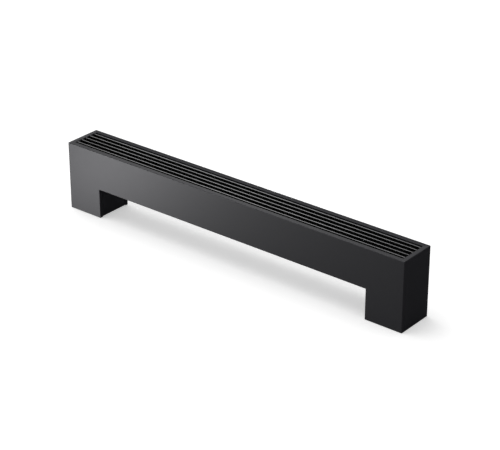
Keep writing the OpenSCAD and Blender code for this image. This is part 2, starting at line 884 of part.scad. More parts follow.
// A swivel nut, held in the console plate by its swaged lip
module foot_nut(x, y) {
    collar_h = base_top - base_z + 2 * seat_gap;
    color(zinc) translate([x, y, base_z - seat_gap - nut_h]) difference() {
        union() {
            hexagon(nut_af, nut_h);
            translate([0, 0, nut_h - eps]) cylinder(r = nut_collar_r, h = collar_h + eps);
            translate([0, 0, nut_h + collar_h]) cylinder(r = nut_lip_r, h = nut_lip_t);
        }
        translate([0, 0, -eps]) cylinder(r = stud_r + run_gap, h = nut_h + collar_h + nut_lip_t + 2 * eps);
    }
}

casing_shell();
rear_panel();
rear_panel_screws();
cross_members();
end_ledges();
grille_pads();
grille_bars();
grille_tie_rods();
grille_spacers();
fin_pack();
exchanger_end_plates();
water_tubes();
return_bends();
supply_header();
valve_seat();
valve_bonnet();
valve_spindle();
hand_wheel();
return_header();
air_vent_body();
air_vent_screw();
drain_plug();
union_nuts();
union_gaskets();
isolating_valves();
gland_nuts();
isolating_plug(tube_ys[0]);  // supply_plug
isolating_plug(tube_ys[1]);  // return_plug
compression_nuts();
compression_olives();
color(zinc) mirror([1, 0, 0]) console();  // left_console
color(zinc) console();  // right_console
tube_bushes();
bush_retainers();
retainer_screws();
casing_caps();
mirror([1, 0, 0]) leg_panel();  // left_leg_panel
leg_panel();  // right_leg_panel
panel_nuts();
foot_stud(-foot_x, -foot_y);  // left_front_stud
foot_stud(-foot_x, foot_y);  // left_rear_stud
foot_stud(foot_x, -foot_y);  // right_front_stud
foot_stud(foot_x, foot_y);  // right_rear_stud
foot_sole(-foot_x, -foot_y);  // left_front_sole
foot_sole(-foot_x, foot_y);  // left_rear_sole
foot_sole(foot_x, -foot_y);  // right_front_sole
foot_sole(foot_x, foot_y);  // right_rear_sole
foot_nut(-foot_x, -foot_y);  // left_front_nut
foot_nut(-foot_x, foot_y);  // left_rear_nut
foot_nut(foot_x, -foot_y);  // right_front_nut
foot_nut(foot_x, foot_y);  // right_rear_nut
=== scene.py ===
import json
import math

import bmesh
import bpy
from mathutils import Matrix, Vector

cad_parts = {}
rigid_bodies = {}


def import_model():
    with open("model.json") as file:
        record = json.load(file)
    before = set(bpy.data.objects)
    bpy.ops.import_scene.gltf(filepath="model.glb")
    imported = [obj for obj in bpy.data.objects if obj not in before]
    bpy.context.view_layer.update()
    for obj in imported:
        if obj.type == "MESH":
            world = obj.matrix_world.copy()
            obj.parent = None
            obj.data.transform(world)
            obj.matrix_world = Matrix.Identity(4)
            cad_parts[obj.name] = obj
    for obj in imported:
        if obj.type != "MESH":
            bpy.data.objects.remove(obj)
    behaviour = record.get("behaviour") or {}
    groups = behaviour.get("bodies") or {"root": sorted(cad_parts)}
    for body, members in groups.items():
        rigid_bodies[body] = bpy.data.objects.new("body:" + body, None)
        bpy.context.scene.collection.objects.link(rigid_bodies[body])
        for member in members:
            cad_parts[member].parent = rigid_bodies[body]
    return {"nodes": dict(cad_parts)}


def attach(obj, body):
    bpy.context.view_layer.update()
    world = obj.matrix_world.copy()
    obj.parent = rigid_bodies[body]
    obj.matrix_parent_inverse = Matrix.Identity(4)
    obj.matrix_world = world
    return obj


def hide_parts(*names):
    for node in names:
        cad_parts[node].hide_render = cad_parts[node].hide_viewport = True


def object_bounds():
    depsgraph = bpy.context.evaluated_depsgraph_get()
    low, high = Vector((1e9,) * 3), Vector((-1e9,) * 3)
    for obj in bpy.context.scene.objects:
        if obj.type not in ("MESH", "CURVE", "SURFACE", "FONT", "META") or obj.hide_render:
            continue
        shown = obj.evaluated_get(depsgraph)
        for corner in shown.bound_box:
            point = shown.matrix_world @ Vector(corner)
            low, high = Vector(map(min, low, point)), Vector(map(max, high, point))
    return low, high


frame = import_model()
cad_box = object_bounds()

scene = bpy.context.scene
scene.view_settings.view_transform = "Standard"

# The pieces are drawn in millimetres, in the frame of the CAD, and turned to metres at the end.
MM = 0.001
# Points closer than WELD are one point, and a limit is met within TINY.
WELD, TINY = 0.001, 0.01
QUARTER, SIXTH = math.pi / 2, math.pi / 3

# Casing
HALF_L, HALF_D, TOP = (round(edge / MM, 3) for edge in cad_box[1])
FLOOR_GAP = 1.0
SHEET = 1.5
BEND = 2.0
RIM, LIP, RETURN = 16.0, 10.5, 11.5
OPEN_X, OPEN_Y = HALF_L - RIM, HALF_D - RIM
LEG_W, LEG_H = 130.0, 100.0
LEG_IN = HALF_L - LEG_W
SEAM = 0.2
FLANGE_X, FLANGE_Z = HALF_L - 13.5, (3.0, TOP - 14.5)
REAR_SCREW_X, REAR_SCREW_Z = HALF_L - 7.5, (30.0, TOP / 2, TOP - 34.5)
MEMBER_SCREW_X, MEMBER_SCREW_Z = [i * 262.4 for i in range(-2, 3)], TOP - 14.6
SCREW_HEAD_R, SCREW_R, SCREW_L = 3.8, 2.0, 8.0
SOCKET_R, SOCKET_DEPTH = 1.15, 1.3

# Grille
BAR_HALF, BAR_T, BAR_H, BAR_SINK, BAR_PITCH = OPEN_X - 1.0, 4.0, 18.0, 1.4, 19.5
BAR_Z = (TOP - BAR_SINK - BAR_H, TOP - BAR_SINK)
BAR_Y = [i * BAR_PITCH for i in range(-2, 3)]
BAR_TOP_RADIUS, BAR_FOOT_RADIUS, BAR_END_CHAMFER = 0.8, 0.4, 0.2

# Exchanger
FIN_HALF, FIN_T, FIN_Y, FIN_Z = 507.0, 0.4, 50.0, (108.0, 168.0)
FIN_COUNT, FIN_FOLDS, FIN_RIPPLE = 145, 12, 0.9
END_FIN_T = 0.5
COLLAR_GAP = 0.5
TUBE_R = 7.5
TUBE_Y, TUBE_Z = (-25.0, 25.0), (123.0, 153.0)
BEND_X, BEND_WALL = -543.3, 0.9
# Stretches of a U bend's socket, from the bend outward: how long, and how much wider than the tube
BEND_SOCKET = ((1.2, 0.0), (1.4, 0.5), (1.4, 1.0), (10.0, 1.0))
BEND_END = BEND_X + sum(length for length, wider in BEND_SOCKET)

# Connections in the right leg
HEADER_X = 556.3
WHEEL_Z, WHEEL_R, WHEEL_BORE_R, WHEEL_BORE_Z = (177.2, 205.0), 19.0, 14.9, 190.6
FLUTES, FLUTE_R, FLUTE_AT = 16, 1.6, 19.8
NUMBER_SIZE, NUMBER_AT, NUMBER_TURN = 3.9, 15.7, 57.6
UNION_Z, PIPE_NUT_Z = 78.2, 26.0
GLAND_X, GLAND_Z = HEADER_X + 14, 60.0
# Hexagon nuts: across their flats, height and radius of the bore
UNION_NUT, PIPE_NUT, GLAND_NUT = (30.0, 18.0, 9.3), (30.0, 19.0, 7.9), (22.0, 6.0, 5.1)

# Feet
FOOT_X, FOOT_Y = 600.5, 42.0
THREAD_PITCH = 1.5
FOOT_NUT, FOOT_NUT_Z = (17.0, 7.8, 5.1), 6.0


def fresh(name):
    """A new mesh object in the scene."""
    piece = bpy.data.objects.new(name, bpy.data.meshes.new(name))
    scene.collection.objects.link(piece)
    return piece


def finish_piece(name, shape, material, body, replaced=(), sharp=35):
    """Turns a shape drawn in millimetres into a piece of the scene that rides on a body."""
    bmesh.ops.remove_doubles(shape, verts=shape.verts, dist=WELD / 2)
    bmesh.ops.scale(shape, vec=(MM, MM, MM), verts=shape.verts)
    piece = fresh(name)
    shape.to_mesh(piece.data)
    shape.free()
    piece.data.shade_smooth()
    piece.data.set_sharp_from_angle(angle=math.radians(sharp))
    piece.data.materials.append(material)
    if replaced:
        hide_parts(*replaced)
    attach(piece, body)
    return piece


def weigh_normals(piece):
    """Keeps the flat faces beside a fold flat to the eye."""
    modifier = piece.modifiers.new("flat faces stay flat", "WEIGHTED_NORMAL")
    modifier.keep_sharp = True
    modifier.weight = 100


# Shapes

def add_copies(shape, part, places):
    """Adds a copy of a small shape at each place."""
    mesh = bpy.data.meshes.new("copy")
    part.to_mesh(mesh)
    part.free()
    for place in places:
        copy = mesh.copy()
        copy.transform(place)
        if place.determinant() < 0:
            copy.flip_normals()
        shape.from_mesh(copy)
        bpy.data.meshes.remove(copy)
    bpy.data.meshes.remove(mesh)


def moved(x=0.0, y=0.0, z=0.0):
    return Matrix.Translation((x, y, z))


def block(shape, low, high):
    """A box from one corner to the opposite one."""
    low, high = Vector(low), Vector(high)
    verts = bmesh.ops.create_cube(shape, size=1)["verts"]
    bmesh.ops.scale(shape, vec=high - low, verts=verts)
    bmesh.ops.translate(shape, vec=(low + high) / 2, verts=verts)
    return verts


def round_edges(shape, edges, radius, segments):
    """Rounds edges, or chamfers them with a single segment."""
    bmesh.ops.bevel(shape, geom=edges, offset=radius, offset_type="OFFSET", segments=segments, profile=0.5,
                    affect="EDGES", material=-1, clamp_overlap=True)


def turned(profile, steps=32, closed=True):
    """A shape turned about Z from a chain of (radius, height), which runs so that its left is the inside."""
    shape = bmesh.new()
    verts = [shape.verts.new((r, 0, z)) for r, z in profile]
    pairs = list(zip(verts, verts[1:]))
    if closed:
        pairs.append((verts[-1], verts[0]))
    edges = [shape.edges.new(pair) for pair in pairs]
    bmesh.ops.spin(shape, geom=verts + edges, cent=(0, 0, 0), axis=(0, 0, 1), angle=2 * math.pi, steps=steps,
                   use_merge=True)
    bmesh.ops.remove_doubles(shape, verts=shape.verts, dist=WELD)
    bmesh.ops.recalc_face_normals(shape, faces=shape.faces)
    return shape


def turn_from_flat(vert):
    """The angle from a point to the middle of the nearest flat of a hexagon round Z."""
    return math.atan2(vert.co.y, vert.co.x) % SIXTH - SIXTH / 2


def hexagon_nut(across, height, bore):
    """A hexagon nut whose corners are turned off by 30 degrees at both faces."""
    face_share, lead_in, steps = 0.97, 0.4, 48
    face_r = face_share * across / 2
    shape = turned([(bore, lead_in), (bore + lead_in, 0), (face_r, 0), (across, 0), (across, height),
                    (face_r, height), (bore + lead_in, height), (bore, height - lead_in)], steps)
    for vert in shape.verts:
        reach = vert.co.xy.length
        if reach > face_r + TINY:
            r = across / 2 / math.cos(turn_from_flat(vert))
            cut = (r - face_r) * math.tan(math.radians(30))
            low = vert.co.z < height / 2
            vert.co = (vert.co.x * r / reach, vert.co.y * r / reach, cut if low else height - cut)
    return shape


def cut_plane(shape, point, normal):
    """Cuts every face that a plane crosses in two."""
    bmesh.ops.bisect_plane(shape, geom=shape.verts[:] + shape.edges[:] + shape.faces[:], dist=WELD / 10,
                           plane_co=point, plane_no=normal)


# Materials

def group(name, inputs, outputs):
    """A node group with its named sockets, and its input and output nodes."""
    tree = bpy.data.node_groups.new(name, "ShaderNodeTree")
    for socket, kind, value in inputs:
        made = tree.interface.new_socket(name=socket, in_out="INPUT", socket_type=kind)
        if value is not None:
            made.default_value = value
    for socket, kind in outputs:
        tree.interface.new_socket(name=socket, in_out="OUTPUT", socket_type=kind)
    return tree, tree.nodes.new("NodeGroupInput"), tree.nodes.new("NodeGroupOutput")


FLOAT, VECTOR = "NodeSocketFloat", "NodeSocketVector"


def wire(tree, source, target):
    """Links an output to an input."""
    tree.links.new(source, target)


def noise(tree, vector, scale, detail=2.0, roughness=0.5):
    """A noise pattern, whose scale is a number or comes from a socket."""
    node = tree.nodes.new("ShaderNodeTexNoise")
    node.inputs["Detail"].default_value = detail
    node.inputs["Roughness"].default_value = roughness
    wire(tree, vector, node.inputs["Vector"])
    if isinstance(scale, (int, float)):
        node.inputs["Scale"].default_value = scale
    else:
        wire(tree, scale, node.inputs["Scale"])
    return node.outputs["Fac"]


def maths(tree, operation, first, second, third=None, clamp=False):
    """A calculation with numbers or with what sockets give."""
    node = tree.nodes.new("ShaderNodeMath")
    node.operation = operation
    node.use_clamp = clamp
    for socket, value in zip(node.inputs, (first, second, third)):
        if value is None:
            continue
        if isinstance(value, (int, float)):
            socket.default_value = value
        else:
            wire(tree, value, socket)
    return node.outputs[0]


def spread(tree, value, low, high, out_low=0.0, out_high=1.0):
    """Stretches the part of a pattern between two values over a new range."""
    node = tree.nodes.new("ShaderNodeMapRange")
    node.interpolation_type = "SMOOTHSTEP"
    wire(tree, value, node.inputs["Value"])
    for name, number in (("From Min", low), ("From Max", high), ("To Min", out_low), ("To Max", out_high)):
        if isinstance(number, (int, float)):
            node.inputs[name].default_value = number
        else:
            wire(tree, number, node.inputs[name])
    return node.outputs["Result"]


def mix_colour(tree, share, first, second):
    """Goes from the first colour to the second one as the share grows."""
    node = tree.nodes.new("ShaderNodeMix")
    node.data_type = "RGBA"
    sockets = [s for s in node.inputs if s.type == "RGBA"]
    for socket, value in zip(sockets, (first, second)):
        if isinstance(value, tuple):
            socket.default_value = (*value, 1)
        else:
            wire(tree, value, socket)
    wire(tree, share, node.inputs["Factor"])
    return [s for s in node.outputs if s.type == "RGBA"][0]


def make_grain():
    """Fine unevenness of a finish: a height for the bump and a slow mottle."""
    tree, given, out = group("fine grain", [("Vector", VECTOR, None), ("Grains", FLOAT, 1500.0)],
                             [("Height", FLOAT), ("Mottle", FLOAT)])
    fine = noise(tree, given.outputs["Vector"], given.outputs["Grains"], 3.0, 0.6)
    slow = noise(tree, given.outputs["Vector"], maths(tree, "DIVIDE", given.outputs["Grains"], 14.0), 3.0)
    wire(tree, fine, out.inputs["Height"])
    wire(tree, spread(tree, slow, 0.3, 0.7), out.inputs["Mottle"])
    return tree


def make_edges():
    """Softly broken edges: the normal over them, and where the finish is rubbed."""
    tree, given, out = group("broken edges", [("Vector", VECTOR, None), ("Radius", FLOAT, 0.0004),
                                              ("Wear", FLOAT, 0.5)],
                             [("Normal", VECTOR), ("Rubbed", FLOAT)])
    bevel = tree.nodes.new("ShaderNodeBevel")
    bevel.samples = 4
    wire(tree, given.outputs["Radius"], bevel.inputs["Radius"])
    faces = tree.nodes.new("ShaderNodeNewGeometry")
    along = tree.nodes.new("ShaderNodeVectorMath")
    along.operation = "DOT_PRODUCT"
    wire(tree, bevel.outputs["Normal"], along.inputs[0])
    wire(tree, faces.outputs["Normal"], along.inputs[1])
    turn = maths(tree, "SUBTRACT", 1.0, along.outputs["Value"], clamp=True)
    patch = noise(tree, given.outputs["Vector"], 260.0, 4.0, 0.65)
    rubbed = maths(tree, "MULTIPLY", spread(tree, turn, 0.02, 0.25), spread(tree, patch, 0.42, 0.62))
    wire(tree, bevel.outputs["Normal"], out.inputs["Normal"])
    wire(tree, maths(tree, "MULTIPLY", rubbed, given.outputs["Wear"], clamp=True), out.inputs["Rubbed"])
    return tree


def make_drawn():
    """Fine lines along the way a bar or tube was drawn. The vector is squeezed along that way."""
    tree, given, out = group("drawn lines", [("Vector", VECTOR, None), ("Lines", FLOAT, 900.0)],
                             [("Height", FLOAT), ("Streak", FLOAT)])
    fine = noise(tree, given.outputs["Vector"], given.outputs["Lines"], 4.0, 0.7)
    broad = noise(tree, given.outputs["Vector"], maths(tree, "DIVIDE", given.outputs["Lines"], 12.0), 2.0)
    wire(tree, fine, out.inputs["Height"])
    wire(tree, spread(tree, broad, 0.3, 0.7), out.inputs["Streak"])
    return tree


def make_spangle():
    """The crystals of a galvanised sheet, each with its own tone."""
    tree, given, out = group("zinc crystals", [("Vector", VECTOR, None), ("Crystals", FLOAT, 220.0)],
                             [("Tone", FLOAT), ("Height", FLOAT)])
    warp = tree.nodes.new("ShaderNodeTexNoise")
    warp.inputs["Scale"].default_value = 300.0
    wire(tree, given.outputs["Vector"], warp.inputs["Vector"])
    shift = tree.nodes.new("ShaderNodeVectorMath")
    shift.operation = "MULTIPLY_ADD"
    shift.inputs[1].default_value = (0.004, 0.004, 0.004)
    wire(tree, warp.outputs["Color"], shift.inputs[0])
    wire(tree, given.outputs["Vector"], shift.inputs[2])
    cells = tree.nodes.new("ShaderNodeTexVoronoi")
    wire(tree, shift.outputs[0], cells.inputs["Vector"])
    wire(tree, given.outputs["Crystals"], cells.inputs["Scale"])
    tone = tree.nodes.new("ShaderNodeSeparateColor")
    wire(tree, cells.outputs["Color"], tone.inputs[0])
    wire(tree, tone.outputs[0], out.inputs["Tone"])
    height = maths(tree, "MULTIPLY_ADD", cells.outputs["Distance"], 0.4, tone.outputs[1])
    wire(tree, height, out.inputs["Height"])
    return tree


def make_stain():
    """Cloudy stains, such as the oxide on copper and brass."""
    tree, given, out = group("oxide stains", [("Vector", VECTOR, None), ("Size", FLOAT, 40.0),
                                              ("Amount", FLOAT, 0.5)], [("Mask", FLOAT)])
    cloud = noise(tree, given.outputs["Vector"], given.outputs["Size"], 6.0, 0.65)
    low = maths(tree, "SUBTRACT", 0.75, maths(tree, "MULTIPLY", given.outputs["Amount"], 0.4))
    wire(tree, spread(tree, cloud, low, maths(tree, "ADD", low, 0.25)), out.inputs["Mask"])
    return tree


def make_dust():
    """A thin layer of dust on what faces up."""
    tree, given, out = group("settled dust", [("Vector", VECTOR, None), ("Amount", FLOAT, 0.3)],
                             [("Mask", FLOAT)])
    faces = tree.nodes.new("ShaderNodeNewGeometry")
    parts = tree.nodes.new("ShaderNodeSeparateXYZ")
    wire(tree, faces.outputs["Normal"], parts.inputs[0])
    cloud = noise(tree, given.outputs["Vector"], 180.0, 5.0, 0.7)
    up = maths(tree, "MULTIPLY", spread(tree, parts.outputs["Z"], 0.3, 1.0), spread(tree, cloud, 0.3, 0.75))
    wire(tree, maths(tree, "MULTIPLY", up, given.outputs["Amount"], clamp=True), out.inputs["Mask"])
    return tree


GRAIN, EDGES, DRAWN = make_grain(), make_edges(), make_drawn()
SPANGLE, STAIN, DUST = make_spangle(), make_stain(), make_dust()


class Finish:
    """A material that is put together from the shared effects."""

    def __init__(self, name, metallic=0.0, specular=0.5, squeeze=(1, 1, 1)):
        self.material = bpy.data.materials.new(name)
        self.material.use_nodes = True
        self.tree = self.material.node_tree
        self.surface = self.tree.nodes["Principled BSDF"]
        self.surface.inputs["Metallic"].default_value = metallic
        self.surface.inputs["Specular IOR Level"].default_value = specular
        places = self.tree.nodes.new("ShaderNodeTexCoord")
        self.place = places.outputs["Object"]
        mapping = self.tree.nodes.new("ShaderNodeMapping")
        mapping.inputs["Scale"].default_value = squeeze
        wire(self.tree, self.place, mapping.inputs["Vector"])
        self.squeezed = mapping.outputs["Vector"]
        self.normal = None
        self.rubbed = None

    def effect(self, tree, squeezed=False, **values):
        node = self.tree.nodes.new("ShaderNodeGroup")
        node.node_tree = tree
        wire(self.tree, self.squeezed if squeezed else self.place, node.inputs["Vector"])
        for name, value in values.items():
            node.inputs[name].default_value = value
        return node.outputs

    def break_edges(self, radius, wear):
        made = self.effect(EDGES, Radius=radius, Wear=wear)
        self.normal, self.rubbed = made["Normal"], made["Rubbed"]

    def colour(self, value):
        wire(self.tree, value, self.surface.inputs["Base Color"])

    def roughness(self, value, low, high):
        wire(self.tree, spread(self.tree, value, 0.0, 1.0, low, high), self.surface.inputs["Roughness"])

    def bump(self, height, strength, distance):
        node = self.tree.nodes.new("ShaderNodeBump")
        node.inputs["Strength"].default_value = strength
        node.inputs["Distance"].default_value = distance
        wire(self.tree, height, node.inputs["Height"])
        if self.normal is not None:
            wire(self.tree, self.normal, node.inputs["Normal"])
        self.normal = node.outputs["Normal"]
        wire(self.tree, self.normal, self.surface.inputs["Normal"])


def powder_coat():
    """Black powder coat with a fine satin grain, rubbed thin along its edges."""
    f = Finish("satin_black_powder_coat")
    f.surface.inputs["Specular Tint"].default_value = (0.965, 0.96, 1.0, 1)
    f.break_edges(0.0004, 0.55)
    grain = f.effect(GRAIN, Grains=1900.0)
    dust = f.effect(DUST, Amount=0.05)
    base = mix_colour(f.tree, grain["Mottle"], (0.0152, 0.0155, 0.0190), (0.0169, 0.0172, 0.0210))
    base = mix_colour(f.tree, dust["Mask"], base, (0.20, 0.19, 0.18))
    f.colour(mix_colour(f.tree, f.rubbed, base, (0.075, 0.075, 0.078)))
    f.roughness(grain["Mottle"], 0.54, 0.56)
    f.bump(grain["Height"], 0.16, 0.00012)
    return f.material


def anodised_bar():
    """Aluminium bars: black and dull on their sides, darkened there as painted shade between the bars; satin
    along their tops, where a lighter colour is painted as a sheen of the light from above.
    """
    f = Finish("black_bar_painted_sheen_and_shade", specular=0.06, squeeze=(0.02, 1, 1))
    lines = f.effect(DRAWN, squeezed=True, Lines=2600.0)
    dust = f.effect(DUST, Amount=0.04)
    faces = f.tree.nodes.new("ShaderNodeNewGeometry")
    parts = f.tree.nodes.new("ShaderNodeSeparateXYZ")
    wire(f.tree, faces.outputs["Normal"], parts.inputs[0])
    # Upward faces get the lighter colour: a painted sheen of the light from above, not a real brushed finish.
    top = spread(f.tree, parts.outputs["Z"], 0.8, 0.98)
    painted_sheen_colour = mix_colour(f.tree, lines["Streak"], (0.19, 0.19, 0.195), (0.26, 0.26, 0.265))
    # Near-black sides: black anodising, darkened further as painted shade between the bars.
    black = mix_colour(f.tree, lines["Streak"], (0.003, 0.003, 0.003), (0.005, 0.005, 0.005))
    base = mix_colour(f.tree, top, black, painted_sheen_colour)
    f.colour(mix_colour(f.tree, dust["Mask"], base, (0.25, 0.24, 0.23)))
    f.roughness(top, 0.62, 0.34)
    wire(f.tree, spread(f.tree, top, 0.0, 1.0, 0.0, 0.45), f.surface.inputs["Metallic"])
    f.bump(lines["Height"], 0.12, 0.00008)
    return f.material


def matt_black():
    """Matt black paint, darkened to near black as painted shade for what lies below the bars."""
    f = Finish("matt_black_paint_and_painted_shade", specular=0.12)
    f.break_edges(0.0003, 0.3)
    grain = f.effect(GRAIN, Grains=2400.0)
    dust = f.effect(DUST, Amount=0.03)
    # The near-black base is partly real black paint and partly painted shade below the bars.
    base = mix_colour(f.tree, grain["Mottle"], (0.004, 0.004, 0.004), (0.007, 0.007, 0.007))
    base = mix_colour(f.tree, dust["Mask"], base, (0.16, 0.15, 0.14))
    f.colour(mix_colour(f.tree, f.rubbed, base, (0.03, 0.03, 0.03)))
    f.roughness(grain["Mottle"], 0.6, 0.72)
    f.bump(grain["Height"], 0.2, 0.0001)
    return f.material


def galvanised():
    """Galvanised sheet with its crystals, dulled in places."""
    f = Finish("galvanised_sheet", metallic=0.6)
    f.break_edges(0.0004, 0.5)
    crystals = f.effect(SPANGLE, Crystals=190.0)
    stain = f.effect(STAIN, Size=28.0, Amount=0.45)
    dust = f.effect(DUST, Amount=0.2)
    base = mix_colour(f.tree, crystals["Tone"], (0.47, 0.48, 0.49), (0.66, 0.67, 0.68))
    base = mix_colour(f.tree, stain["Mask"], base, (0.40, 0.40, 0.39))
    base = mix_colour(f.tree, dust["Mask"], base, (0.42, 0.40, 0.37))
    f.colour(mix_colour(f.tree, f.rubbed, base, (0.78, 0.78, 0.79)))
    f.roughness(crystals["Tone"], 0.34, 0.52)
    f.bump(crystals["Height"], 0.05, 0.0002)
    return f.material


def zinc_plated():
    """Bright zinc plating on turned and rolled small parts."""
    f = Finish("zinc_plated_steel", metallic=0.75)
    f.break_edges(0.00025, 0.5)
    grain = f.effect(GRAIN, Grains=2600.0)
    stain = f.effect(STAIN, Size=120.0, Amount=0.4)
    base = mix_colour(f.tree, grain["Mottle"], (0.60, 0.62, 0.65), (0.70, 0.71, 0.73))
    base = mix_colour(f.tree, stain["Mask"], base, (0.62, 0.58, 0.46))
    f.colour(mix_colour(f.tree, f.rubbed, base, (0.82, 0.82, 0.83)))
    f.roughness(grain["Mottle"], 0.24, 0.36)
    f.bump(grain["Height"], 0.08, 0.00006)
    return f.material


def fin_aluminium():
    """Bare rolled aluminium, with faint lines along the way it was rolled."""
    f = Finish("bare_fin_aluminium", metallic=0.6, squeeze=(1, 0.05, 1))
    lines = f.effect(DRAWN, squeezed=True, Lines=900.0)
    dust = f.effect(DUST, Amount=0.25)
    stain = f.effect(STAIN, Size=90.0, Amount=0.15)
    base = mix_colour(f.tree, lines["Streak"], (0.70, 0.71, 0.72), (0.80, 0.81, 0.82))
    base = mix_colour(f.tree, stain["Mask"], base, (0.62, 0.62, 0.61))
    f.colour(mix_colour(f.tree, dust["Mask"], base, (0.46, 0.44, 0.41)))
    f.roughness(lines["Streak"], 0.40, 0.52)
    f.bump(lines["Height"], 0.05, 0.00005)
    return f.material


def drawn_copper():
    """Drawn copper, browned where it was soldered and handled."""
    f = Finish("drawn_copper", metallic=0.8, squeeze=(0.03, 1, 1))
    lines = f.effect(DRAWN, squeezed=True, Lines=1400.0)
    stain = f.effect(STAIN, Size=55.0, Amount=0.7)
    spots = f.effect(STAIN, Size=400.0, Amount=0.35)
    base = mix_colour(f.tree, lines["Streak"], (0.72, 0.33, 0.19), (0.82, 0.42, 0.26))
    base = mix_colour(f.tree, stain["Mask"], base, (0.36, 0.15, 0.09))
    f.colour(mix_colour(f.tree, spots["Mask"], base, (0.20, 0.09, 0.06)))
    f.roughness(stain["Mask"], 0.24, 0.46)
    f.bump(lines["Height"], 0.08, 0.00006)
    return f.material


def worked_brass(name, cast):
    """Brass: sandy where it was cast, smoother where it was turned."""
    f = Finish(name, metallic=0.65)
    f.break_edges(0.0004, 0.7)
    grain = f.effect(GRAIN, Grains=1100.0 if cast else 3000.0)
    stain = f.effect(STAIN, Size=45.0, Amount=0.4 if cast else 0.25)
    base = mix_colour(f.tree, grain["Mottle"], (0.74, 0.55, 0.26), (0.83, 0.64, 0.33))
    base = mix_colour(f.tree, stain["Mask"], base, (0.52, 0.35, 0.15))
    f.colour(mix_colour(f.tree, f.rubbed, base, (0.86, 0.68, 0.38)))
    f.roughness(grain["Mottle"], 0.38 if cast else 0.24, 0.50 if cast else 0.34)
    f.bump(grain["Height"], 0.35 if cast else 0.08, 0.00015)
    return f.material


def soft_rubber():
    """Black rubber, greyed by dust."""
    f = Finish("black_rubber", specular=0.35)
    f.break_edges(0.0005, 0.5)
    grain = f.effect(GRAIN, Grains=1500.0)
    dust = f.effect(DUST, Amount=0.3)
    base = mix_colour(f.tree, grain["Mottle"], (0.014, 0.014, 0.014), (0.024, 0.023, 0.022))
    base = mix_colour(f.tree, dust["Mask"], base, (0.16, 0.15, 0.14))
    f.colour(mix_colour(f.tree, f.rubbed, base, (0.05, 0.05, 0.05)))
    f.roughness(grain["Mottle"], 0.68, 0.82)
    f.bump(grain["Height"], 0.3, 0.00012)
    return f.material


def moulded_plastic(name, first, second, mark):
    """Plastic in two close tones, with marks in a third one."""
    f = Finish(name)
    f.break_edges(0.0004, 0.5)
    grain = f.effect(GRAIN, Grains=2200.0)
    stain = f.effect(STAIN, Size=90.0, Amount=0.25)
    base = mix_colour(f.tree, grain["Mottle"], first, second)
    base = mix_colour(f.tree, stain["Mask"], base, mark)
    f.colour(mix_colour(f.tree, f.rubbed, base, mark))
    f.roughness(grain["Mottle"], 0.36, 0.44)
    f.bump(grain["Height"], 0.12, 0.00008)
    return f.material


coat, bar_finish, black_paint_and_shade = powder_coat(), anodised_bar(), matt_black()
sheet_zinc, bright_zinc = galvanised(), zinc_plated()
fin_metal, copper = fin_aluminium(), drawn_copper()
cast_brass, turned_brass = worked_brass("cast_brass", True), worked_brass("turned_brass", False)
rubber = soft_rubber()
white_plastic = moulded_plastic("white_wheel_plastic", (0.72, 0.72, 0.70), (0.78, 0.78, 0.76),
                                (0.60, 0.58, 0.53))
print_grey = moulded_plastic("grey_dial_numbers", (0.07, 0.07, 0.075), (0.09, 0.09, 0.095),
                             (0.16, 0.16, 0.16))


# Casing

def behind(point, shift):
    """Whether a point of the casing belongs to the rear panel, which meets the shell in a mitre."""
    return point.y > OPEN_Y - shift + max(0.0, abs(point.x) - OPEN_X)


